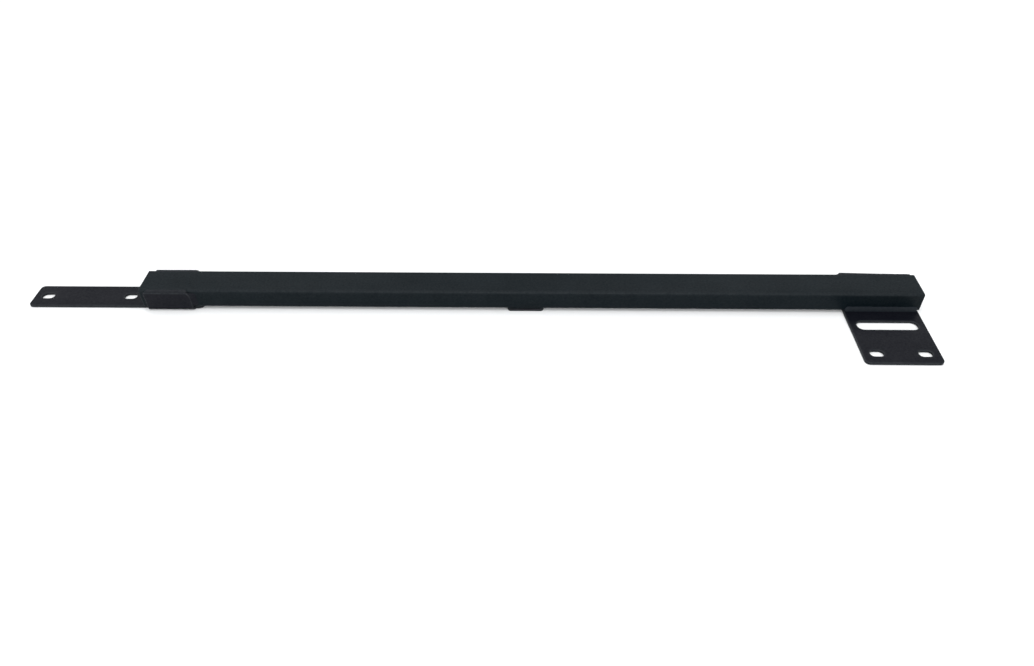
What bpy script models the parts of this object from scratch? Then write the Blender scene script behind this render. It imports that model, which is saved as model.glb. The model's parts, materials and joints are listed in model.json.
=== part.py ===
"""A bed cargo bar: a rectangular steel tube with a folded tongue bracket welded to one end and a
folded side plate bracket welded to the other, all powder coated black.

The bar lies along X with its tongue at -X and its side plate reaching out to -Y. The underside of
its brackets is at Z = 0, and the origin is under the middle of the bounding box.
"""

from math import cos, pi, radians, sin, sqrt

import bmesh
import bpy
from mathutils import Vector
from mathutils.geometry import tessellate_polygon

# Sheet and fit
SHEET = 0.0032  # thickness of both folded brackets and of the centre pad
GAP = 0.0003  # clearance between pieces that touch
ARRIS = 0.0003  # broken edge of cut sheet and tube
BEND_INSIDE = 0.0008  # inner radius of the folds
BEND_STEPS = 6
CORNER_STEPS = 6

# Tube
TUBE_LENGTH = 0.9409
TUBE_WIDTH = 0.040
TUBE_HEIGHT = 0.025
TUBE_WALL = 0.002
TUBE_CORNER = 0.0025

# Tongue bracket, measured from the tube's tongue end
TONGUE_REACH = 0.1445
TONGUE_WIDTH = 0.038
TONGUE_CORNER = 0.005
TONGUE_INNER_CORNER = 0.003
TONGUE_SLOT_SPACING = 0.104
TONGUE_SLOT_FROM_TIP = 0.0165
SADDLE_SETBACK = 0.0065
SADDLE_LENGTH = 0.056
SADDLE_HEEL = 0.0105  # how far the floor of the saddle runs past its ears
SADDLE_EAR_CORNERS = (0.002, 0.006)  # at the ears' tongue end and at their inner end
HEEL_CORNER = 0.006
HEEL_NOTCH = 0.002
SADDLE_EAR_DROP = 0.0017  # how far the ears stop below the tube's top face

# Side plate bracket
PLATE_LENGTH = 0.0887
PLATE_SETBACK = 0.0012  # from the tube's end to the bracket's end
PLATE_REACH = 0.0898  # from the tube's side to the plate's outer edge
PLATE_CORNER = 0.006
PLATE_SLOT_SPACING = 0.055
PLATE_SLOT_FROM_EDGE = 0.016
WINDOW_LENGTH = 0.072
WINDOW_WIDTH = 0.015
WINDOW_FROM_TUBE = 0.026
REAR_EAR_CORNERS = (0.0015, 0.003)  # at the ear's inner end and at the bar's end
REAR_EAR_DROP = 0.0007  # how far the ear's inner end stops below the tube's top face
REAR_EAR_FALL = 0.0022  # how much lower the ear is at the bar's end

# Slots for the mounting bolts
SLOT_LENGTH = 0.016
SLOT_WIDTH = 0.010

# Centre pad
PAD_LENGTH = 0.044
PAD_WIDTH = 0.041
PAD_CORNER = 0.004
PAD_CENTRE = 0.468  # from the tube's tongue end

# End plugs
PLUG_RECESS = 0.0005  # how far the plugs sit inside the tube's ends
PLUG_CHAMFER = 0.0006
PLUG_FACE = 0.002  # thickness of a plug's closed face
PLUG_DEPTH = 0.014
PLUG_WALL = 0.0015
PLUG_RIB_SPACING = 0.003
PLUG_RIB_DEPTH = 0.0005
PLUG_RIBS = 3

# Weld beads
BEAD_STEP = 0.004
BEAD_TAPER = 0.004
FILLET_UP = 0.0068  # along the tube's side
FILLET_OUT = 0.0012  # along the side plate
END_TOE = 0.007
UNDER_TOE = 0.0035

BAR_LENGTH = TONGUE_REACH + TUBE_LENGTH
HALF_WIDTH = TUBE_WIDTH / 2
FLOOR_TOP = SHEET  # top face of the bracket floors
TUBE_BOTTOM = FLOOR_TOP + GAP
TUBE_TOP = TUBE_BOTTOM + TUBE_HEIGHT
SADDLE_EAR_TOP = TUBE_TOP - SADDLE_EAR_DROP
REAR_EAR_TOP = TUBE_TOP - REAR_EAR_DROP
EAR_INSIDE = HALF_WIDTH + GAP
EAR_OUTSIDE = EAR_INSIDE + SHEET
FOLD_START = EAR_INSIDE - BEND_INSIDE
FOLD_RADIUS = BEND_INSIDE + SHEET / 2
FOLD_LENGTH = FOLD_RADIUS * pi / 2
EAR_FOOT = FOLD_START + FOLD_LENGTH - FLOOR_TOP - BEND_INSIDE  # flat length up to Z = 0 of an ear
SADDLE_EAR_BLANK = EAR_FOOT + SADDLE_EAR_TOP
REAR_EAR_BLANK = EAR_FOOT + REAR_EAR_TOP

BAR_START = -BAR_LENGTH / 2
TUBE_START = BAR_START + TONGUE_REACH
TUBE_END = TUBE_START + TUBE_LENGTH
SADDLE_START = TUBE_START + SADDLE_SETBACK
SADDLE_END = SADDLE_START + SADDLE_LENGTH
SADDLE_FLOOR_END = SADDLE_END + SADDLE_HEEL
PLATE_END = TUBE_END - PLATE_SETBACK
PLATE_START = PLATE_END - PLATE_LENGTH
PLATE_MIDDLE = (PLATE_START + PLATE_END) / 2
PLATE_EDGE = -HALF_WIDTH - PLATE_REACH
SIDE_SHIFT = -(PLATE_EDGE + EAR_OUTSIDE) / 2  # brings the bounding box's middle to Y = 0


def clear_scene():
    for obj in list(bpy.data.objects):
        bpy.data.objects.remove(obj, do_unlink=True)


def make_material(name, colour, roughness, metallic=0.0):
    material = bpy.data.materials.new(name)
    material.use_nodes = True
    shader = material.node_tree.nodes["Principled BSDF"]
    shader.inputs["Base Color"].default_value = (*colour, 1.0)
    shader.inputs["Roughness"].default_value = roughness
    shader.inputs["Metallic"].default_value = metallic
    material.diffuse_color = (*colour, 1.0)
    return material


def make_object(name, bm, material):
    """Turns a bmesh into a smooth-shaded object, moved sideways into the bar's own frame."""
    bmesh.ops.translate(bm, verts=bm.verts, vec=(0, SIDE_SHIFT, 0))
    bmesh.ops.recalc_face_normals(bm, faces=bm.faces)
    mesh = bpy.data.meshes.new(name)
    bm.to_mesh(mesh)
    bm.free()
    mesh.shade_smooth()
    mesh.set_sharp_from_angle(angle=radians(35))
    mesh.materials.append(material)
    obj = bpy.data.objects.new(name, mesh)
    bpy.context.collection.objects.link(obj)
    return obj


def rounded_outline(corners):
    """A closed outline from (x, y, radius) corners, each rounded by an arc of its own radius."""
    points = []
    for i, (x, y, radius) in enumerate(corners):
        here = Vector((x, y))
        back = (Vector(corners[i - 1][:2]) - here).normalized()
        ahead = (Vector(corners[(i + 1) % len(corners)][:2]) - here).normalized()
        if radius == 0:
            points.append(here)
            continue
        half = back.angle(ahead) / 2
        centre = here + (back + ahead).normalized() * (radius / sin(half))
        begin = here + back * (radius / (sin(half) / cos(half))) - centre
        sweep = begin.angle_signed(here + ahead * (radius / (sin(half) / cos(half))) - centre)
        for step in range(CORNER_STEPS + 1):
            turn = -sweep * step / CORNER_STEPS
            points.append(
                centre
                + Vector(
                    (
                        begin.x * cos(turn) - begin.y * sin(turn),
                        begin.x * sin(turn) + begin.y * cos(turn),
                    )
                )
            )
    return points


def rectangle(width, height, radius, x=0.0, y=0.0):
    w, h = width / 2, height / 2
    return rounded_outline(
        [(x - w, y - h, radius), (x + w, y - h, radius), (x + w, y + h, radius), (x - w, y + h, radius)]
    )


def obround(x, y, length, width):
    """A slot along X with half-round ends."""
    radius = width / 2
    reach = length / 2 - radius
    points = []
    for side, start in ((1, -pi / 2), (-1, pi / 2)):
        for step in range(2 * CORNER_STEPS + 1):
            turn = start + pi * step / (2 * CORNER_STEPS)
            points.append(Vector((x + side * reach + radius * cos(turn), y + radius * sin(turn))))
    return points


def offset_inwards(points, distance):
    """Moves each point of a counter-clockwise outline into the area that it encloses."""
    moved = []
    for i, here in enumerate(points):
        before = (here - points[i - 1]).normalized()
        after = (points[(i + 1) % len(points)] - here).normalized()
        mitre = Vector((-before.y - after.y, before.x + after.x)).normalized()
        moved.append(here + mitre * (distance / max(0.3, mitre.dot(Vector((-before.y, before.x))))))
    return moved


def plate_mesh(outline, holes, thickness):
    """A flat plate on Z = 0 with holes and a small chamfer along every edge."""
    bm = bmesh.new()
    caps = {0.0: [], thickness: []}
    for loop, inset in [(outline, ARRIS)] + [(hole, -ARRIS) for hole in holes]:
        inner = offset_inwards(loop, inset)
        rings = []
        for ring, z in ((inner, 0.0), (loop, ARRIS), (loop, thickness - ARRIS), (inner, thickness)):
            rings.append([bm.verts.new((p.x, p.y, z)) for p in ring])
        for lower, upper in zip(rings, rings[1:]):
            join_rings(bm, lower, upper)
        caps[0.0].append(rings[0])
        caps[thickness].append(rings[-1])
    for loops in caps.values():
        verts = [vert for loop in loops for vert in loop]
        for triangle in tessellate_polygon([[vert.co for vert in loop] for loop in loops]):
            bm.faces.new([verts[i] for i in triangle])
    return bm


def join_rings(bm, lower, upper):
    for i in range(len(lower)):
        bm.faces.new((lower[i - 1], lower[i], upper[i], upper[i - 1]))


def fold_up(bm, side):
    """Folds the part of a plate beyond FOLD_START on one side of the X axis upright."""
    for step in range(BEND_STEPS + 1):
        line = FOLD_START + FOLD_LENGTH * step / BEND_STEPS
        bmesh.ops.bisect_plane(
            bm,
            geom=bm.verts[:] + bm.edges[:] + bm.faces[:],
            dist=1e-7,
            plane_co=(0, side * line, 0),
            plane_no=(0, 1, 0),
        )
    for vert in bm.verts:
        past = side * vert.co.y - FOLD_START
        if past <= 0:
            continue
        turn = min(past, FOLD_LENGTH) / FOLD_RADIUS
        radius = BEND_INSIDE + SHEET - vert.co.z
        straight = max(0.0, past - FOLD_LENGTH)
        vert.co.y = side * (FOLD_START + radius * sin(turn))
        vert.co.z = SHEET + BEND_INSIDE - radius * cos(turn) + straight


def make_tube(material):
    outer = rectangle(TUBE_WIDTH, TUBE_HEIGHT, TUBE_CORNER)
    inner = rectangle(TUBE_WIDTH - 2 * TUBE_WALL, TUBE_HEIGHT - 2 * TUBE_WALL, TUBE_CORNER - TUBE_WALL)
    bm = plate_mesh(outer, [inner], TUBE_LENGTH)
    for vert in bm.verts:
        across, up, along = vert.co
        vert.co = (TUBE_START + along, across, TUBE_BOTTOM + TUBE_HEIGHT / 2 + up)
    return make_object("main_tube", bm, material)


def make_front_bracket(material):
    half_outline = [
        (BAR_START, TONGUE_WIDTH / 2, TONGUE_CORNER),
        (SADDLE_START, TONGUE_WIDTH / 2, TONGUE_INNER_CORNER),
        (SADDLE_START, SADDLE_EAR_BLANK, SADDLE_EAR_CORNERS[0]),
        (SADDLE_END, SADDLE_EAR_BLANK, SADDLE_EAR_CORNERS[1]),
        (SADDLE_END, FOLD_START, HEEL_NOTCH),
        (SADDLE_FLOOR_END, FOLD_START, HEEL_CORNER),
    ]
    near_half = [(x, -y, radius) for x, y, radius in half_outline]
    outline = rounded_outline(near_half + half_outline[::-1])
    slot = BAR_START + TONGUE_SLOT_FROM_TIP
    holes = [obround(slot + TONGUE_SLOT_SPACING * i, 0, SLOT_LENGTH, SLOT_WIDTH) for i in range(2)]
    bm = plate_mesh(outline, holes, SHEET)
    fold_up(bm, -1)
    fold_up(bm, 1)
    return make_object("front_bracket", bm, material)


def make_rear_bracket(material):
    outline = rounded_outline(
        [
            (PLATE_START, PLATE_EDGE, PLATE_CORNER),
            (PLATE_END, PLATE_EDGE, PLATE_CORNER),
            (PLATE_END, REAR_EAR_BLANK - REAR_EAR_FALL, REAR_EAR_CORNERS[1]),
            (PLATE_START, REAR_EAR_BLANK, REAR_EAR_CORNERS[0]),
        ]
    )
    slot_line = PLATE_EDGE + PLATE_SLOT_FROM_EDGE
    holes = [obround(PLATE_MIDDLE, -HALF_WIDTH - WINDOW_FROM_TUBE, WINDOW_LENGTH, WINDOW_WIDTH)]
    for side in (-1, 1):
        x = PLATE_MIDDLE + side * PLATE_SLOT_SPACING / 2
        holes.append(obround(x, slot_line, SLOT_LENGTH, SLOT_WIDTH))
    bm = plate_mesh(outline, holes, SHEET)
    fold_up(bm, 1)
    return make_object("rear_bracket", bm, material)


def make_centre_pad(material):
    middle = TUBE_START + PAD_CENTRE
    bm = plate_mesh(rectangle(PAD_LENGTH, PAD_WIDTH, PAD_CORNER, x=middle), [], SHEET)
    return make_object("centre_pad", bm, material)


def loft(bm, rings):
    """Skins a row of equal loops of points and closes both ends."""
    rows = [[bm.verts.new(point) for point in ring] for ring in rings]
    for lower, upper in zip(rows, rows[1:]):
        join_rings(bm, lower, upper)
    bm.faces.new(rows[0][::-1])
    bm.faces.new(rows[-1])


def make_end_plug(name, end, inwards, material):
    """A push-in plug that sits just inside the tube's end, hollow and ribbed behind its face."""
    width = TUBE_WIDTH - 2 * TUBE_WALL - 2 * GAP
    height = TUBE_HEIGHT - 2 * TUBE_WALL - 2 * GAP
    corner = 0.001
    levels = [(PLUG_RECESS, PLUG_CHAMFER), (PLUG_RECESS + PLUG_CHAMFER, 0.0)]
    for rib in range(PLUG_RIBS):
        valley = PLUG_RECESS + PLUG_FACE + PLUG_RIB_SPACING * rib
        levels.append((valley, 0.0))
        levels.append((valley + PLUG_RIB_SPACING * 0.2, PLUG_RIB_DEPTH))
        levels.append((valley + PLUG_RIB_SPACING * 0.6, PLUG_RIB_DEPTH))
        levels.append((valley + PLUG_RIB_SPACING * 0.8, 0.0))
    levels.append((PLUG_DEPTH, PLUG_RIB_DEPTH))
    levels.append((PLUG_DEPTH, PLUG_WALL))
    levels.append((PLUG_RECESS + PLUG_FACE, PLUG_WALL))
    middle = TUBE_BOTTOM + TUBE_HEIGHT / 2
    rings = []
    for depth, inset in levels:
        ring = rectangle(width - 2 * inset, height - 2 * inset, corner)
        rings.append([(end + inwards * depth, p.x, middle + p.y) for p in ring])
    bm = bmesh.new()
    loft(bm, rings)
    return make_object(name, bm, material)


def bead_size(along, length):
    """How full the bead is at a distance along its run: a short taper at each end."""
    edge = max(0.0, min(along, length - along))
    return 0.45 + 0.55 * sqrt(min(1.0, edge / BEAD_TAPER))


def make_bead(name, section, root, start, end, place, material):
    """Sweeps a section, which shrinks towards its root at both ends, from start to end.

    place turns (distance along the run, section point) into a point of the bar.
    """
    length = end - start
    steps = max(2, round(length / BEAD_STEP))
    rings = []
    for step in range(steps + 1):
        along = length * step / steps
        size = bead_size(along, length)
        scaled = [(root[0] + (a - root[0]) * size, root[1] + (b - root[1]) * size) for a, b in section]
        rings.append([place(start + along, a, b) for a, b in scaled])
    bm = bmesh.new()
    loft(bm, rings)
    return make_object(name, bm, material)


def tube_corner_arc(centre_up, first, last, steps=4):
    """Points just off a rounded long edge of the tube, as (outwards from its side, up)."""
    radius = TUBE_CORNER + GAP
    points = []
    for step in range(steps + 1):
        turn = radians(first + (last - first) * step / steps)
        points.append((-TUBE_CORNER + radius * cos(turn), centre_up + radius * sin(turn)))
    return points


def top_bead_section(ear_top):
    """Lies on an ear's top edge and blends it into the tube's rounded top edge."""
    rest = ear_top + GAP
    centre = TUBE_TOP - TUBE_CORNER
    first = 40
    crown = [(-0.0009, TUBE_TOP + 0.0006), (0.0006, TUBE_TOP + 0.0005), (0.0019, TUBE_TOP - 0.0001)]
    return [(SHEET, rest)] + tube_corner_arc(centre, first, 78) + crown


def make_top_bead(name, side, ear_top, start, end, material, fall=0.0):
    """Follows the ear's top edge, which falls towards the bar's end by a given slope."""
    section = top_bead_section(ear_top)
    root = section[1]

    def place(x, out, up):
        on_ear = max(0.0, out) / SHEET
        return x, side * (HALF_WIDTH + out), up - fall * (x - start) * on_ear

    return make_bead(name, section, root, start, end, place, material)


def make_ear_end_bead(name, side, x_face, towards, top, material):
    """Closes the upright end of an ear onto the tube's side, with a long toe along the tube."""
    section = [(GAP, GAP), (GAP, SHEET), (END_TOE * 0.45, SHEET * 0.62), (END_TOE, GAP)]

    def place(z, along, out):
        return x_face + towards * along, side * (HALF_WIDTH + out), z

    bottom = TUBE_BOTTOM + TUBE_CORNER
    return make_bead(name, section, section[0], bottom, top, place, material)


def make_under_bead(name, x_face, towards, start, end, material):
    """Closes the cut end of a plate onto the tube's underside, clear of the floor."""
    section = [(GAP, 0.0), (GAP, SHEET * 0.8), (UNDER_TOE * 0.5, SHEET * 0.5), (UNDER_TOE, 0.0)]

    def place(y, along, down):
        return x_face + towards * along, y, FLOOR_TOP - down

    return make_bead(name, section, section[0], start, end, place, material)


def make_plate_fillet(material):
    """The fillet in the corner between the tube's side and the top of the side plate."""
    rest = FLOOR_TOP + GAP
    corner = tube_corner_arc(TUBE_BOTTOM + TUBE_CORNER, -60, 0)
    face = [(GAP, rest + FILLET_UP), (FILLET_OUT * 0.75, rest + FILLET_UP * 0.6)]
    section = [(FILLET_OUT, rest)] + corner + face

    def place(x, out, up):
        return x, -HALF_WIDTH - out, up

    start, end = PLATE_START + 0.001, PLATE_END - 0.001
    return make_bead("rear_weld_plate", section, (0.0, rest), start, end, place, material)


def make_welds(material):
    margin = 0.002
    for label, side in (("plate_side", -1), ("outer_side", 1)):
        start, end = SADDLE_START + margin, SADDLE_END - 0.003
        make_top_bead(f"front_weld_top_{label}", side, SADDLE_EAR_TOP, start, end, material)
        top = SADDLE_EAR_TOP - SADDLE_EAR_CORNERS[1]
        make_ear_end_bead(f"front_weld_end_{label}", side, SADDLE_END, 1, top, material)
    start, end = PLATE_START + margin, PLATE_END - REAR_EAR_CORNERS[1]
    fall = REAR_EAR_FALL / PLATE_LENGTH
    make_top_bead("rear_weld_top", 1, REAR_EAR_TOP, start, end, material, fall)
    top = REAR_EAR_TOP - REAR_EAR_CORNERS[0]
    make_ear_end_bead("rear_weld_end", 1, PLATE_START, -1, top, material)
    make_plate_fillet(material)

    half_under = HALF_WIDTH - 0.007
    make_under_bead("front_weld_under", SADDLE_FLOOR_END, 1, -half_under, half_under, material)
    make_under_bead("rear_weld_under", PLATE_START, -1, -HALF_WIDTH + 0.002, 0.005, material)
    pad_middle = TUBE_START + PAD_CENTRE
    for label, towards in (("front", -1), ("rear", 1)):
        x_face = pad_middle + towards * PAD_LENGTH / 2
        make_under_bead(f"pad_weld_{label}", x_face, towards, -half_under, half_under, material)


def main():
    clear_scene()
    coat = make_material("black_powder_coat", (0.016, 0.018, 0.020), 0.5)
    weld_coat = make_material("powder_coated_weld", (0.017, 0.019, 0.021), 0.45)
    plastic = make_material("black_plastic", (0.012, 0.012, 0.013), 0.6)
    make_tube(coat)
    make_front_bracket(coat)
    make_rear_bracket(coat)
    make_centre_pad(coat)
    make_end_plug("front_end_plug", TUBE_START, 1, plastic)
    make_end_plug("rear_end_plug", TUBE_END, -1, plastic)
    make_welds(weld_coat)


main()
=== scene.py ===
"""Looks of a bed cargo bar: finely rounded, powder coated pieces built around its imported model.

Everything is in metres in the bar's own frame: X along the bar, the side plate reaching out to -Y,
and Z up from the underside of the brackets.
"""

import json
from math import cos, pi, radians, sin, sqrt

import bmesh
import bpy
from mathutils import Euler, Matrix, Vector, noise
from mathutils.geometry import tessellate_polygon


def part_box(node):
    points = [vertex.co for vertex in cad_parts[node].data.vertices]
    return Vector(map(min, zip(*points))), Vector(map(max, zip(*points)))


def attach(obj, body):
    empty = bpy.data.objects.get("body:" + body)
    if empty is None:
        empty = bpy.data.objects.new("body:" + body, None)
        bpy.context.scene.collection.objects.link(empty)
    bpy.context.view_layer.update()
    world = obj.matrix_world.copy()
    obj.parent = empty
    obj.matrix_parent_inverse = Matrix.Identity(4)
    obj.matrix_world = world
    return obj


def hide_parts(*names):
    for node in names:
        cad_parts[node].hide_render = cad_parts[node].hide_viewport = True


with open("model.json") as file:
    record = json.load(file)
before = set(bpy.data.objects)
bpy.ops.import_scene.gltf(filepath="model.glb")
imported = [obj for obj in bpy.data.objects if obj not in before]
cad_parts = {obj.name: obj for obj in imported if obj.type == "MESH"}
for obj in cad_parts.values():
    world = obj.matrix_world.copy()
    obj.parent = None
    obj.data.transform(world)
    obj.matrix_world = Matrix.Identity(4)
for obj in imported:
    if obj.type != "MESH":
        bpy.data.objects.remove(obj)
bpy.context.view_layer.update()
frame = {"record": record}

# Sheet metal
SHEET = 0.0032
FIT_GAP = 0.0003  # clearance between the tube and the brackets
BEND_INSIDE = 0.0008
BEND_STEPS = 12
CORNER_STEPS = 12
EDGE_ROUND = 0.00045  # softened edge of the coated sheet
EDGE_STEPS = 4
EDGE_BAND = 0.0018  # how far rubbing and the painted edge highlight reach in from an edge
EDGE_RUB_AND_HIGHLIGHT = 0.55  # rubbing and painted highlight where a softened edge begins and ends, 1 being the most
MITRE_LIMIT = 0.3  # keeps an outline's sharp points from shooting out when it is offset
SHARP_ANGLE = 50.0  # degrees between faces from which an edge isn't smoothed

# Tube
TUBE_WALL = 0.002
TUBE_CORNER = 0.0025
TUBE_CORNER_RUB_AND_HIGHLIGHT = 0.10  # lighter rubbed colour where a rounded long edge begins, also a painted ridge highlight
TUBE_CREST_RUB_AND_HIGHLIGHT = 0.32  # added rubbed colour along its crest, also a painted ridge highlight

# Tongue bracket
TONGUE_WIDTH = 0.038
TONGUE_CORNER = 0.005
TONGUE_INNER_CORNER = 0.003
SADDLE_SETBACK = 0.0065  # from the tube's end to the ears
SADDLE_LENGTH = 0.056
SADDLE_EAR_CORNERS = (0.002, 0.006)  # at the ears' tongue end and at their inner end
HEEL_NOTCH = 0.002
HEEL_CORNER = 0.006
SLOT_LENGTH = 0.016
SLOT_WIDTH = 0.010

# Side plate bracket
PLATE_CORNER = 0.006
WINDOW_LENGTH = 0.072
WINDOW_WIDTH = 0.015
REAR_EAR_CORNERS = (0.0015, 0.003)  # at the ear's inner end and at the bar's end
REAR_EAR_FALL = 0.0022  # how much lower the ear is at the bar's end

PAD_CORNER = 0.004

# End plugs
PLUG_CORNER = 0.001
PLUG_FACE_ROUND = 0.0006
PLUG_FACE = 0.002  # thickness of a plug's closed face
PLUG_WALL = 0.0015
PLUG_RIB_SPACING = 0.003
PLUG_RIB_DEPTH = 0.0005
PLUG_RIBS = 3

# Weld beads
RING_SPACING = 0.0006
RIPPLE_SPACING = 0.0017
RIPPLE_HEIGHT = 0.00012
RIPPLE_LAG = 0.0011  # how far a ripple's middle trails behind its toes
BEAD_FACE_STEPS = 10
BEAD_RUB = 0.3  # rubbing of a bead that stands proud
END_BEAD_RUB = 0.05  # rubbing of a bead that lies flat beside an ear
BEAD_TAPER = 0.004  # length over which a bead grows from its start
SHORT_TAPER = 0.003
CRATER = 0.3  # size of a bead's very end, as a share of its full size
BEAD_SINK = 0.0004  # how far a bead's toes run into the metal
TOP_BULGE = 0.00055  # how far the beads on the ears stand proud of a straight slope

# Powder coat
SHEET_PEEL = 0.00006  # depth of the orange peel
BEAD_PEEL = 0.00003
FINE_GRAIN = 0.000012
COAT_GLOSS = 0.08
COAT_SPECK = (0.010, 0.012, 0.014)
# lighter colour of rubbed spots, also used as a painted highlight along the tube's long edges and the
# softened edges
COAT_RUBBED_AND_HIGHLIGHT = (0.030, 0.034, 0.037)
TUBE_TONES = ((0.0022, 0.0052, 0.0072), (0.0040, 0.0076, 0.0100))
BRACKET_TONES = ((0.0034, 0.0039, 0.0070), (0.0058, 0.0063, 0.0096))
# a lighter copy of the coat for the side plate's fillet: a painted highlight where the fillet faces up to
# the lights
FILLET_HIGHLIGHT_TONES = ((0.0088, 0.0122, 0.0172), (0.0128, 0.0168, 0.0222))

# Camera, measured from the middle of the bar's underside
CAMERA_PLACE = Vector((0.07864, -0.70299, 0.62234))
CAMERA_TURN = 1.545  # degrees anticlockwise from looking along +Y
CAMERA_PITCH = 42.21  # degrees below the horizon
CAMERA_ROLL = -0.649
CAMERA_LENS = 27.331
CAMERA_SENSOR = 36.0

# Studio
FLOOR_HALF = 6.0
FLOOR_DROP = 0.0002  # keeps the floor clear of the brackets' undersides
FLOOR_TONES = (0.94, 0.955)
SKY_TINT = (0.93, 0.97, 1.0)
SKY_BRIGHTNESS = 0.50
SOFTBOXES = {  # place, size in metres, watts; all face the origin
    "overhead": ((0.0, -0.2, 2.4), (3.0, 2.0), 42),
    "back": ((0.0, 3.0, 2.7), (7.0, 1.8), 70),
    "front": ((0.0, -2.4, 1.5), (3.4, 1.6), 42),
}

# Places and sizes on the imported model
TUBE_LOW, TUBE_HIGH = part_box("main_tube")
FRONT_LOW, FRONT_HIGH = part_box("front_bracket")
REAR_LOW, REAR_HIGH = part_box("rear_bracket")
PAD_LOW, PAD_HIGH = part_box("centre_pad")
TUBE_Y = (TUBE_LOW.y + TUBE_HIGH.y) / 2
TUBE_Z = (TUBE_LOW.z + TUBE_HIGH.z) / 2
TUBE_WIDTH = TUBE_HIGH.y - TUBE_LOW.y
TUBE_HEIGHT = TUBE_HIGH.z - TUBE_LOW.z
HALF_WIDTH = TUBE_WIDTH / 2
SADDLE_START = TUBE_LOW.x + SADDLE_SETBACK
SADDLE_END = SADDLE_START + SADDLE_LENGTH
SADDLE_EAR_TOP = FRONT_HIGH.z
REAR_EAR_TOP = REAR_HIGH.z
FOLD_START = HALF_WIDTH + FIT_GAP - BEND_INSIDE
FOLD_RADIUS = BEND_INSIDE + SHEET / 2
FOLD_LENGTH = FOLD_RADIUS * pi / 2
EAR_FOOT = FOLD_START + FOLD_LENGTH - SHEET - BEND_INSIDE  # flat length up to Z = 0 of an ear
SADDLE_EAR_BLANK = EAR_FOOT + SADDLE_EAR_TOP
REAR_EAR_BLANK = EAR_FOOT + REAR_EAR_TOP


def opening_centre(name):
    for opening in frame["record"]["physics"]["openings"]:
        if opening["name"] == name:
            low, high = opening["box_m"]
            return (low[0] + high[0]) / 2, (low[1] + high[1]) / 2
    raise ValueError(f"the record has no opening named {name}")


# ---------------------------------------------------------------- outlines


def rounded_outline(corners):
    """A closed outline from (x, y, radius) corners, each rounded by an arc of its own radius."""
    points = []
    for i, (x, y, radius) in enumerate(corners):
        here = Vector((x, y))
        back = (Vector(corners[i - 1][:2]) - here).normalized()
        ahead = (Vector(corners[(i + 1) % len(corners)][:2]) - here).normalized()
        half = back.angle(ahead) / 2
        reach = radius * cos(half) / sin(half)
        centre = here + (back + ahead).normalized() * (radius / sin(half))
        begin = here + back * reach - centre
        sweep = begin.angle_signed(here + ahead * reach - centre)
        for step in range(CORNER_STEPS + 1):
            turn = -sweep * step / CORNER_STEPS
            x_turned = begin.x * cos(turn) - begin.y * sin(turn)
            y_turned = begin.x * sin(turn) + begin.y * cos(turn)
            points.append(centre + Vector((x_turned, y_turned)))
    return points


def rectangle(width, height, radius, x=0.0, y=0.0):
    w, h = width / 2, height / 2
    return rounded_outline(
        [(x - w, y - h, radius), (x + w, y - h, radius), (x + w, y + h, radius), (x - w, y + h, radius)]
    )


def obround(x, y, length, width):
    """A slot along X with half-round ends."""
    radius = width / 2
    reach = length / 2 - radius
    points = []
    for side, start in ((1, -pi / 2), (-1, pi / 2)):
        for step in range(2 * CORNER_STEPS + 1):
            turn = start + pi * step / (2 * CORNER_STEPS)
            points.append(Vector((x + side * reach + radius * cos(turn), y + radius * sin(turn))))
    return points


def offset_inwards(points, distance):
    """Moves each point of an anticlockwise outline into the area that it encloses."""
    moved = []
    for i, here in enumerate(points):
        before = (here - points[i - 1]).normalized()
        after = (points[(i + 1) % len(points)] - here).normalized()
        mitre = Vector((-before.y - after.y, before.x + after.x)).normalized()
        moved.append(here + mitre * (distance / max(MITRE_LIMIT, mitre.dot(Vector((-before.y, before.x))))))
    return moved


# ---------------------------------------------------------------- meshes


def new_mesh():
    """A bmesh with a layer that says how much lighter rubbed colour each point gets, from 0 to 1: wear, and
    along edges a painted highlight.
    """
    bm = bmesh.new()
    return bm, bm.verts.layers.float.new("wear_and_highlight")


def join_rings(bm, lower, upper):
    for i in range(len(lower)):
        bm.faces.new((lower[i - 1], lower[i], upper[i], upper[i - 1]))


def edge_levels(thickness):
    """(inset, height, wear) down one face of a sheet, round its softened edges and onto the other."""
    lower = [(EDGE_BAND, 0.0, 0.0)]
    for step in range(EDGE_STEPS + 1):
        turn = pi / 2 * step / EDGE_STEPS
        # lighter rubbed colour on the softened edge, also a painted edge highlight
        worn_and_highlit = EDGE_RUB_AND_HIGHLIGHT + (1 - EDGE_RUB_AND_HIGHLIGHT) * sin(2 * turn)
        lower.append((EDGE_ROUND * (1 - sin(turn)), EDGE_ROUND * (1 - cos(turn)), worn_and_highlit))
    return lower + [(inset, thickness - height, worn_and_highlit) for inset, height, worn_and_highlit in reversed(lower)]


def plate_mesh(outline, holes, thickness):
    """A flat sheet on Z = 0 with holes and softened edges."""
    bm, wear_and_highlight = new_mesh()
    caps = ([], [])
    for loop, inwards in [(outline, 1)] + [(hole, -1) for hole in holes]:
        rings = []
        for inset, height, worn_and_highlit in edge_levels(thickness):
            ring = [bm.verts.new((p.x, p.y, height)) for p in offset_inwards(loop, inwards * inset)]
            for vert in ring:
                vert[wear_and_highlight] = worn_and_highlit
            rings.append(ring)
        for lower, upper in zip(rings, rings[1:]):
            join_rings(bm, lower, upper)
        caps[0].append(rings[0])
        caps[1].append(rings[-1])
    for loops in caps:
        verts = [vert for loop in loops for vert in loop]
        for triangle in tessellate_polygon([[vert.co for vert in loop] for loop in loops]):
            bm.faces.new([verts[i] for i in triangle])
    return bm


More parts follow.
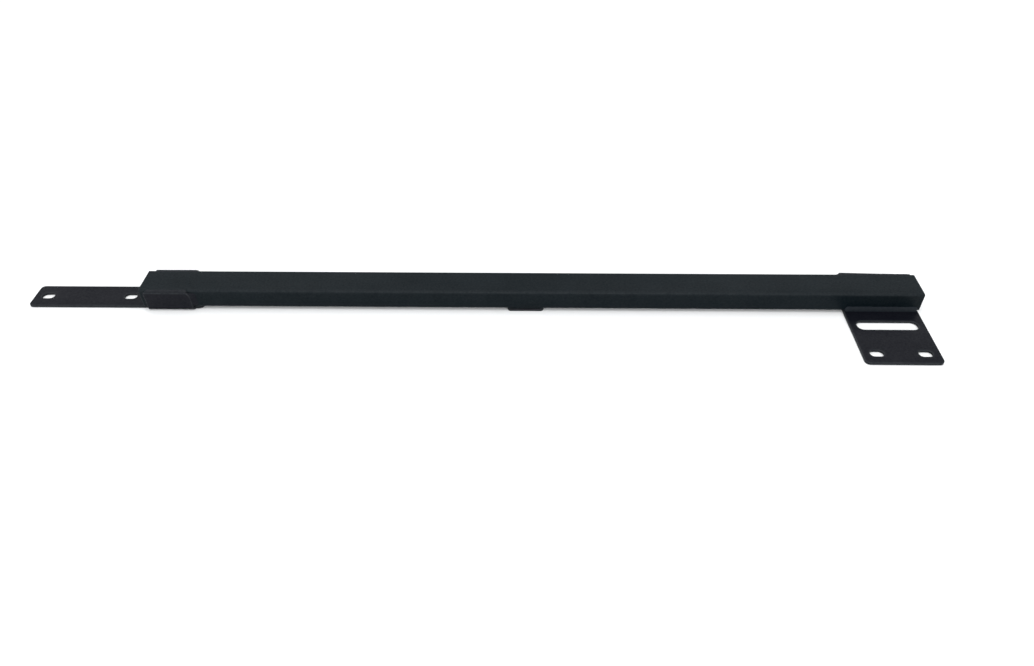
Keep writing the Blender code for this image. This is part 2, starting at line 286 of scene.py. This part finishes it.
def fold_up(bm, side):
    """Folds the part of a sheet beyond FOLD_START on one side of the X axis upright."""
    for step in range(BEND_STEPS + 1):
        line = FOLD_START + FOLD_LENGTH * step / BEND_STEPS
        bmesh.ops.bisect_plane(
            bm,
            geom=bm.verts[:] + bm.edges[:] + bm.faces[:],
            dist=1e-7,
            plane_co=(0, side * line, 0),
            plane_no=(0, 1, 0),
        )
    for vert in bm.verts:
        past = side * vert.co.y - FOLD_START
        if past <= 0:
            continue
        turn = min(past, FOLD_LENGTH) / FOLD_RADIUS
        radius = BEND_INSIDE + SHEET - vert.co.z
        straight = max(0.0, past - FOLD_LENGTH)
        vert.co.y = side * (FOLD_START + radius * sin(turn))
        vert.co.z = SHEET + BEND_INSIDE - radius * cos(turn) + straight


def finish_piece(node, bm, material, move=(0, 0, 0)):
    """Makes the piece that stands for a CAD node, and puts it on the bar."""
    bmesh.ops.translate(bm, verts=bm.verts, vec=move)
    bmesh.ops.recalc_face_normals(bm, faces=bm.faces)
    mesh = bpy.data.meshes.new(f"{node}_finished")
    bm.to_mesh(mesh)
    bm.free()
    mesh.shade_smooth()
    mesh.set_sharp_from_angle(angle=radians(SHARP_ANGLE))
    mesh.materials.append(material)
    piece = bpy.data.objects.new(f"{node}_finished", mesh)
    bpy.context.scene.collection.objects.link(piece)
    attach(piece, "root")
    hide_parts(node)
    return piece


# ---------------------------------------------------------------- tube and brackets


def tube_profile():
    """(across, up, wear) round the tube, with points close beside each rounded long edge."""
    points = []
    for x_side, y_side, start in ((1, 1, 0), (-1, 1, 90), (-1, -1, 180), (1, -1, 270)):
        across = x_side * (HALF_WIDTH - TUBE_CORNER)
        up = y_side * (TUBE_HEIGHT / 2 - TUBE_CORNER)
        for step in range(-1, CORNER_STEPS + 2):
            on_arc = min(max(step, 0), CORNER_STEPS)
            turn = radians(start + 90 * on_arc / CORNER_STEPS)
            past = EDGE_BAND * (step - on_arc)
            x = across + TUBE_CORNER * cos(turn) - past * sin(turn)
            y = up + TUBE_CORNER * sin(turn) + past * cos(turn)
            # rubbed colour on the long edges that also paints the ridge highlight, strongest on the crest
            worn_and_highlit = 0.0 if past else TUBE_CORNER_RUB_AND_HIGHLIGHT + TUBE_CREST_RUB_AND_HIGHLIGHT * sin(pi * on_arc / CORNER_STEPS)
            points.append((Vector((x, y)), worn_and_highlit))
    return points


def tube_levels(length):
    """(inset, along, wear) over the outside, round one cut end, through the bore and back."""
    half = [(0.0, EDGE_BAND, 0.0)]
    for step in range(EDGE_STEPS + 1):
        turn = pi / 2 * step / EDGE_STEPS
        # lighter rubbed colour round the cut end, also a painted edge highlight
        worn_and_highlit = EDGE_RUB_AND_HIGHLIGHT + (1 - EDGE_RUB_AND_HIGHLIGHT) * sin(2 * turn)
        half.append((EDGE_ROUND * (1 - cos(turn)), EDGE_ROUND * (1 - sin(turn)), worn_and_highlit))
    inside = [(TUBE_WALL - inset, along, worn_and_highlit) for inset, along, worn_and_highlit in reversed(half)]
    start = half + inside
    return start + [(inset, length - along, worn_and_highlit) for inset, along, worn_and_highlit in reversed(start)]


def make_tube(material):
    profile = tube_profile()
    outline = [point for point, _ in profile]
    length = TUBE_HIGH.x - TUBE_LOW.x
    bm, wear_and_highlight = new_mesh()
    rings = []
    for inset, along, end_worn_and_highlit in tube_levels(length):
        ring = []
        for (_, worn_and_highlit), point in zip(profile, offset_inwards(outline, inset)):
            vert = bm.verts.new((TUBE_LOW.x + along, TUBE_Y + point.x, TUBE_Z + point.y))
            vert[wear_and_highlight] = max(worn_and_highlit, end_worn_and_highlit)
            ring.append(vert)
        rings.append(ring)
    for i, ring in enumerate(rings):
        join_rings(bm, rings[i - 1], ring)
    return finish_piece("main_tube", bm, material)


def make_front_bracket(material):
    tip, heel = FRONT_LOW.x, FRONT_HIGH.x
    half_outline = [
        (tip, TONGUE_WIDTH / 2, TONGUE_CORNER),
        (SADDLE_START, TONGUE_WIDTH / 2, TONGUE_INNER_CORNER),
        (SADDLE_START, SADDLE_EAR_BLANK, SADDLE_EAR_CORNERS[0]),
        (SADDLE_END, SADDLE_EAR_BLANK, SADDLE_EAR_CORNERS[1]),
        (SADDLE_END, FOLD_START, HEEL_NOTCH),
        (heel, FOLD_START, HEEL_CORNER),
    ]
    near_half = [(x, -y, radius) for x, y, radius in half_outline]
    outline = rounded_outline(near_half + half_outline[::-1])
    holes = []
    for name in ("tongue_tip_slot", "tongue_inner_slot"):
        holes.append(obround(opening_centre(name)[0], 0, SLOT_LENGTH, SLOT_WIDTH))
    bm = plate_mesh(outline, holes, SHEET)
    fold_up(bm, -1)
    fold_up(bm, 1)
    return finish_piece("front_bracket", bm, material, (0, TUBE_Y, 0))


def make_rear_bracket(material):
    edge = REAR_LOW.y - TUBE_Y
    outline = rounded_outline(
        [
            (REAR_LOW.x, edge, PLATE_CORNER),
            (REAR_HIGH.x, edge, PLATE_CORNER),
            (REAR_HIGH.x, REAR_EAR_BLANK - REAR_EAR_FALL, REAR_EAR_CORNERS[1]),
            (REAR_LOW.x, REAR_EAR_BLANK, REAR_EAR_CORNERS[0]),
        ]
    )
    holes = []
    for name in ("side_plate_slot_inboard", "side_plate_slot_outboard"):
        x, y = opening_centre(name)
        holes.append(obround(x, y - TUBE_Y, SLOT_LENGTH, SLOT_WIDTH))
    x, y = opening_centre("side_plate_window")
    holes.append(obround(x, y - TUBE_Y, WINDOW_LENGTH, WINDOW_WIDTH))
    bm = plate_mesh(outline, holes, SHEET)
    fold_up(bm, 1)
    return finish_piece("rear_bracket", bm, material, (0, TUBE_Y, 0))


def make_centre_pad(material):
    size = PAD_HIGH - PAD_LOW
    middle = (PAD_LOW + PAD_HIGH) / 2
    outline = rectangle(size.x, size.y, PAD_CORNER, middle.x, middle.y)
    bm = plate_mesh(outline, [], size.z)
    return finish_piece("centre_pad", bm, material)


def plug_levels(depth):
    """(distance from the face, inset, wear) over a plug's rounded face edge, ribs and hollow."""
    levels = []
    for step in range(EDGE_STEPS + 1):
        turn = pi / 2 * step / EDGE_STEPS
        inset = PLUG_FACE_ROUND * (1 - sin(turn))
        levels.append((PLUG_FACE_ROUND * (1 - cos(turn)), inset, 0.8))
    for rib in range(PLUG_RIBS):
        valley = PLUG_FACE + PLUG_RIB_SPACING * rib
        for share, cut in ((0.0, 0.0), (0.1, 0.7), (0.2, 1.0), (0.6, 1.0), (0.7, 0.7), (0.8, 0.0)):
            levels.append((valley + PLUG_RIB_SPACING * share, PLUG_RIB_DEPTH * cut, 0.2))
    levels.append((depth, PLUG_RIB_DEPTH, 0.2))
    levels.append((depth, PLUG_WALL, 0.0))
    levels.append((PLUG_FACE, PLUG_WALL, 0.0))
    return levels


def make_end_plug(node, inwards, material):
    """A push-in plug: a flat face just inside the tube's end and a ribbed skirt behind it."""
    low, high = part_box(node)
    face = low.x if inwards > 0 else high.x
    width, height = high.y - low.y, high.z - low.z
    bm, wear_and_highlight = new_mesh()
    rings = []
    for deep, inset, worn_and_highlit in plug_levels(high.x - low.x):
        ring = []
        for p in rectangle(width - 2 * inset, height - 2 * inset, PLUG_CORNER):
            vert = bm.verts.new((face + inwards * deep, TUBE_Y + p.x, TUBE_Z + p.y))
            vert[wear_and_highlight] = worn_and_highlit
            ring.append(vert)
        rings.append(ring)
    for lower, upper in zip(rings, rings[1:]):
        join_rings(bm, lower, upper)
    bm.faces.new(rings[0])
    bm.faces.new(rings[-1])
    return finish_piece(node, bm, material)


# ---------------------------------------------------------------- weld beads


def bead_fullness(along, length, taper):
    """Grows like a rounded end from a start crater to the full bead, and back at the far end."""
    edge = max(0.0, min(along, length - along))
    share = min(1.0, edge / taper)
    return CRATER + (1 - CRATER) * sqrt(share * (2 - share))


def bead_wander(along, seed):
    """Slow change in a hand-laid bead's size along its run."""
    slow = noise.noise(Vector((along * 160, seed, 0)))
    quick = noise.noise(Vector((along * 420, seed, 7)))
    return 1 + 0.09 * slow + 0.05 * quick


def make_bead(node, start, end, toes, roots, bulge, place, material, seed, taper=BEAD_TAPER, rub=BEAD_RUB):
    """Sweeps a rippled face between two toes, closed through root points inside the joint.

    toes and roots are (a, b) points of the section, and place turns (distance, a, b) into a
    point of the bar.
    """
    toe_a, toe_b = Vector(toes[0]), Vector(toes[1])
    root = sum((Vector(point) for point in roots), Vector((0, 0))) / len(roots)
    chord = toe_b - toe_a
    outwards = Vector((-chord.y, chord.x)).normalized()
    if outwards.dot(toe_a - root) < 0:
        outwards = -outwards
    length = end - start
    steps = max(8, round(length / RING_SPACING))
    bm, wear_and_highlight = new_mesh()
    rings = []
    for step in range(steps + 1):
        along = length * step / steps
        full = bead_fullness(along, length, taper) * bead_wander(along, seed)
        ring = []
        for face_step in range(BEAD_FACE_STEPS + 1):
            share = face_step / BEAD_FACE_STEPS
            arch = 4 * share * (1 - share)
            phase = 2 * pi * (along + RIPPLE_LAG * arch) / RIPPLE_SPACING
            ripple = RIPPLE_HEIGHT * arch * (0.5 + 0.5 * sin(phase) - 0.35 * cos(2 * phase))
            point = toe_a + chord * share + outwards * (bulge * arch + ripple)
            ring.append((root + (point - root) * full, rub * (0.5 + arch)))
        for point in roots:
            ring.append((root + (Vector(point) - root) * full, 0.0))
        verts = []
        for point, worn_and_highlit in ring:
            vert = bm.verts.new(place(start + along, point.x, point.y))
            vert[wear_and_highlight] = worn_and_highlit
            verts.append(vert)
        rings.append(verts)
    for lower, upper in zip(rings, rings[1:]):
        join_rings(bm, lower, upper)
    bm.faces.new(rings[0])
    bm.faces.new(rings[-1])
    return finish_piece(node, bm, material)


def make_plate_fillet(material):
    """The fillet in the corner between the tube's side and the side plate."""
    low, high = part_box("rear_weld_plate")
    up_leg = high.z - SHEET
    out_leg = TUBE_LOW.y - low.y

    def place(x, out, up):
        return x, TUBE_LOW.y - out, SHEET + up

    toes = [(out_leg + 0.0003, -BEAD_SINK * 0.5), (-BEAD_SINK * 0.5, up_leg)]
    roots = [(-0.0009, 0.0016), (-0.0012, -0.0003)]
    make_bead("rear_weld_plate", low.x, high.x, toes, roots, 0.0003, place, material, 3.0, SHORT_TAPER)


def make_top_bead(node, side, ear_top, material, seed, fall=0.0):
    """The bead that lies on an ear's top edge and runs onto the tube's rounded top edge."""
    low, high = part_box(node)

    def place(x, out, up):
        on_ear = max(0.0, out) / SHEET
        return x, TUBE_Y + side * (HALF_WIDTH + out), up - fall * (x - low.x) * on_ear

    top = TUBE_HIGH.z
    toes = [(SHEET + FIT_GAP * 0.8, ear_top - 0.0003), (-0.0022, top - 0.0001)]
    roots = [(-0.0010, top - 0.0014), (0.0006, ear_top - 0.0008)]
    make_bead(node, low.x, high.x, toes, roots, TOP_BULGE, place, material, seed)


def make_ear_end_bead(node, side, x_face, towards, ear, material, seed):
    """Closes the upright end of an ear onto the tube's side, and follows its rounded top corner.

    ear is (height of its top edge, radius of that corner).
    """
    low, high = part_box(node)
    ear_top, corner = ear
    reach = (high.x - x_face) if towards > 0 else (x_face - low.x)
    top = max(high.z, ear_top - corner * 0.25)

    def place(z, along, out):
        rise = min(max(0.0, z - ear_top + corner), corner * 0.8)
        inset = corner - sqrt(corner * corner - rise * rise)
        return x_face + towards * (along - inset), TUBE_Y + side * (HALF_WIDTH + out), z

    toes = [(-0.0010, SHEET + FIT_GAP + 0.0001), (reach, -BEAD_SINK)]
    roots = [(0.0005, -0.0008), (-0.0010, 0.0010)]
    make_bead(node, low.z, top, toes, roots, 0.0001, place, material, seed, SHORT_TAPER, END_BEAD_RUB)


def make_under_bead(node, x_face, towards, material, seed):
    """Closes the cut end of a sheet onto the tube's underside, clear of the floor."""
    low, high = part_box(node)
    reach = (high.x - x_face) if towards > 0 else (x_face - low.x)

    def place(y, along, down):
        return x_face + towards * along, y, SHEET - down

    toes = [(-0.0002, SHEET * 0.8), (reach, -FIT_GAP - BEAD_SINK * 0.5)]
    roots = [(0.0004, -FIT_GAP - 0.0004), (-0.0003, 0.0004)]
    make_bead(node, low.y, high.y, toes, roots, 0.0001, place, material, seed, SHORT_TAPER)


def make_welds(material):
    saddle = (SADDLE_EAR_TOP, SADDLE_EAR_CORNERS[1])
    for seed, (label, side) in enumerate((("plate_side", -1), ("outer_side", 1))):
        make_top_bead(f"front_weld_top_{label}", side, SADDLE_EAR_TOP, material, 11.0 + seed)
        make_ear_end_bead(f"front_weld_end_{label}", side, SADDLE_END, 1, saddle, material, 21.0 + seed)
    fall = REAR_EAR_FALL / (REAR_HIGH.x - REAR_LOW.x)
    rear = (REAR_EAR_TOP, REAR_EAR_CORNERS[0])
    make_top_bead("rear_weld_top", 1, REAR_EAR_TOP, material, 15.0, fall)
    make_ear_end_bead("rear_weld_end", 1, REAR_LOW.x, -1, rear, material, 25.0)
    make_under_bead("front_weld_under", FRONT_HIGH.x, 1, material, 31.0)
    make_under_bead("rear_weld_under", REAR_LOW.x, -1, material, 32.0)
    make_under_bead("pad_weld_front", PAD_LOW.x, -1, material, 33.0)
    make_under_bead("pad_weld_rear", PAD_HIGH.x, 1, material, 34.0)


# ---------------------------------------------------------------- materials


class Shader:
    """Short names for the nodes that the materials are built from."""

    def __init__(self, name):
        self.material = bpy.data.materials.new(name)
        self.material.use_nodes = True
        self.tree = self.material.node_tree
        self.principled = self.tree.nodes["Principled BSDF"]
        place = self.tree.nodes.new("ShaderNodeTexCoord")
        self.place = place.outputs["Object"]

    def link(self, output, socket):
        self.tree.links.new(output, socket)

    def noise(self, per_metre, detail=2.0, roughness=0.5, vector=None):
        node = self.tree.nodes.new("ShaderNodeTexNoise")
        node.inputs["Scale"].default_value = per_metre
        node.inputs["Detail"].default_value = detail
        node.inputs["Roughness"].default_value = roughness
        self.link(vector or self.place, node.inputs["Vector"])
        return node.outputs["Fac"]

    def stretch(self, scale):
        node = self.tree.nodes.new("ShaderNodeMapping")
        node.inputs["Scale"].default_value = scale
        self.link(self.place, node.inputs["Vector"])
        return node.outputs["Vector"]

    def between(self, value, low, high, to_low=0.0, to_high=1.0):
        node = self.tree.nodes.new("ShaderNodeMapRange")
        node.inputs["From Min"].default_value = low
        node.inputs["From Max"].default_value = high
        node.inputs["To Min"].default_value = to_low
        node.inputs["To Max"].default_value = to_high
        self.link(value, node.inputs["Value"])
        return node.outputs["Result"]

    def maths(self, operation, a, b):
        node = self.tree.nodes.new("ShaderNodeMath")
        node.operation = operation
        for socket, value in zip(node.inputs, (a, b)):
            if isinstance(value, (int, float)):
                socket.default_value = value
            else:
                self.link(value, socket)
        return node.outputs["Value"]

    def mix_colours(self, share, a, b):
        node = self.tree.nodes.new("ShaderNodeMix")
        node.data_type = "RGBA"
        self.link(share, node.inputs["Factor"])
        for socket, value in ((node.inputs[6], a), (node.inputs[7], b)):
            if isinstance(value, tuple):
                socket.default_value = (*value, 1.0)
            else:
                self.link(value, socket)
        return node.outputs[2]

    # the mask of lighter rubbed colour: wear, and painted highlights along edges
    def worn_and_highlit(self):
        node = self.tree.nodes.new("ShaderNodeAttribute")
        node.attribute_name = "wear_and_highlight"
        return node.outputs["Fac"]

    def bump(self, heights):
        """Chains (height, depth in metres) pairs, the coarsest first."""
        normal = None
        for height, depth in heights:
            node = self.tree.nodes.new("ShaderNodeBump")
            node.inputs["Strength"].default_value = 1.0
            node.inputs["Distance"].default_value = depth
            self.link(height, node.inputs["Height"])
            if normal:
                self.link(normal, node.inputs["Normal"])
            normal = node.outputs["Normal"]
        self.link(normal, self.principled.inputs["Normal"])

    def set(self, **values):
        for name, value in values.items():
            self.principled.inputs[name.replace("_", " ")].default_value = value


def coat_material(name, dark, light, peel_depth):
    """Satin black powder coat: orange peel, fine grain, uneven gloss, mottling and rubbed edges whose
    lighter colour is also a painted highlight.
    """
    shader = Shader(name)
    gloss = shader.between(shader.noise(420, 4, 0.7), 0.3, 0.7, COAT_GLOSS * 0.55, COAT_GLOSS * 1.45)
    shader.link(gloss, shader.principled.inputs["Specular IOR Level"])
    mottle = shader.between(shader.noise(28, 4, 0.6), 0.3, 0.7)
    colour = shader.mix_colours(mottle, dark, light)
    specks = shader.between(shader.noise(1400, 2), 0.62, 0.74, 0, 0.3)
    colour = shader.mix_colours(specks, colour, COAT_SPECK)
    rub = shader.between(shader.noise(240, 3, 0.65), 0.30, 0.60, 0.45, 1.0)
    # lighter rubbed colour: wear, and painted highlights along edges
    rubbed_and_highlit = shader.maths("MULTIPLY", shader.worn_and_highlit(), rub)
    colour = shader.mix_colours(rubbed_and_highlit, colour, COAT_RUBBED_AND_HIGHLIGHT)
    shader.link(colour, shader.principled.inputs["Base Color"])

    smudges = shader.noise(9, 3, 0.55, shader.stretch((0.5, 2.2, 2.2)))
    rough = shader.between(smudges, 0.3, 0.7, 0.40, 0.52)
    grain = shader.between(shader.noise(2600, 2), 0.3, 0.7, -0.05, 0.05)
    rough = shader.maths("ADD", rough, grain)
    rough = shader.maths("SUBTRACT", rough, shader.maths("MULTIPLY", rubbed_and_highlit, 0.10))
    shader.link(rough, shader.principled.inputs["Roughness"])

    peel = shader.noise(520, 2, 0.45)
    fine = shader.noise(2400, 2, 0.5)
    shader.bump([(peel, peel_depth), (fine, FINE_GRAIN)])
    return shader.material


def plastic_material():
    """Moulded black polyethylene with a fine spark-eroded grain."""
    shader = Shader("plug_plastic")
    shader.set(Specular_IOR_Level=0.4)
    mottle = shader.between(shader.noise(60, 3), 0.3, 0.7)
    colour = shader.mix_colours(mottle, (0.010, 0.010, 0.011), (0.016, 0.016, 0.017))
    colour = shader.mix_colours(shader.maths("MULTIPLY", shader.worn_and_highlit(), 0.4), colour, (0.035, 0.035, 0.037))
    shader.link(colour, shader.principled.inputs["Base Color"])
    rough = shader.between(shader.noise(1800, 3), 0.3, 0.7, 0.52, 0.68)
    shader.link(rough, shader.principled.inputs["Roughness"])
    shader.bump([(shader.noise(1500, 3, 0.6), 0.00003)])
    return shader.material


def floor_material():
    shader = Shader("studio_floor")
    shader.set(Roughness=0.7, Specular_IOR_Level=0.2)
    tone = shader.between(shader.noise(3, 2), 0.3, 0.7)
    dark, light = ((value, value, value) for value in FLOOR_TONES)
    shader.link(shader.mix_colours(tone, dark, light), shader.principled.inputs["Base Color"])
    return shader.material


# ---------------------------------------------------------------- studio


def make_floor():
    bm = bmesh.new()
    bmesh.ops.create_grid(bm, x_segments=8, y_segments=8, size=FLOOR_HALF)
    bmesh.ops.translate(bm, verts=bm.verts, vec=(0, 0, -FLOOR_DROP))
    mesh = bpy.data.meshes.new("studio_floor")
    bm.to_mesh(mesh)
    bm.free()
    mesh.materials.append(floor_material())
    floor = bpy.data.objects.new("studio_floor", mesh)
    bpy.context.scene.collection.objects.link(floor)


def make_softbox(name, place, size, watts):
    light = bpy.data.lights.new(name, "AREA")
    light.shape = "RECTANGLE"
    light.size, light.size_y = size
    light.energy = watts
    lamp = bpy.data.objects.new(name, light)
    lamp.location = place
    lamp.rotation_euler = (-Vector(place)).to_track_quat("-Z", "Y").to_euler()
    bpy.context.scene.collection.objects.link(lamp)


def make_world():
    world = bpy.data.worlds.new("studio_world")
    world.use_nodes = True
    background = world.node_tree.nodes["Background"]
    background.inputs["Color"].default_value = (*SKY_TINT, 1.0)
    background.inputs["Strength"].default_value = SKY_BRIGHTNESS
    bpy.context.scene.world = world


def make_camera():
    data = bpy.data.cameras.new("camera")
    data.sensor_width = CAMERA_SENSOR
    data.lens = CAMERA_LENS
    camera = bpy.data.objects.new("camera", data)
    camera.location = CAMERA_PLACE
    turn = Euler((0, 0, radians(CAMERA_TURN))).to_matrix()
    pitch = Euler((radians(90 - CAMERA_PITCH), 0, 0)).to_matrix()
    roll = Euler((0, 0, radians(CAMERA_ROLL))).to_matrix()
    camera.rotation_euler = (turn @ pitch @ roll).to_euler()
    bpy.context.scene.collection.objects.link(camera)
    bpy.context.scene.camera = camera


def make_studio():
    make_floor()
    make_world()
    for name, (place, size, watts) in SOFTBOXES.items():
        make_softbox(name, place, size, watts)
    bpy.context.scene.view_settings.view_transform = "Standard"


def main():
    tube_coat = coat_material("powder_coat_tube", *TUBE_TONES, SHEET_PEEL)
    bracket_coat = coat_material("powder_coat_brackets", *BRACKET_TONES, SHEET_PEEL)
    # the fillet's coat is lighter than the bracket coat: a painted highlight
    fillet_highlight_coat = coat_material("coated_weld_fillet_painted_highlight", *FILLET_HIGHLIGHT_TONES, BEAD_PEEL)
    bead_coat = coat_material("coated_weld", *BRACKET_TONES, BEAD_PEEL)
    plastic = plastic_material()
    make_camera()
    make_tube(tube_coat)
    make_front_bracket(bracket_coat)
    make_rear_bracket(bracket_coat)
    make_centre_pad(bracket_coat)
    make_end_plug("front_end_plug", 1, plastic)
    make_end_plug("rear_end_plug", -1, plastic)
    make_plate_fillet(fillet_highlight_coat)
    make_welds(bead_coat)
    make_studio()


main()
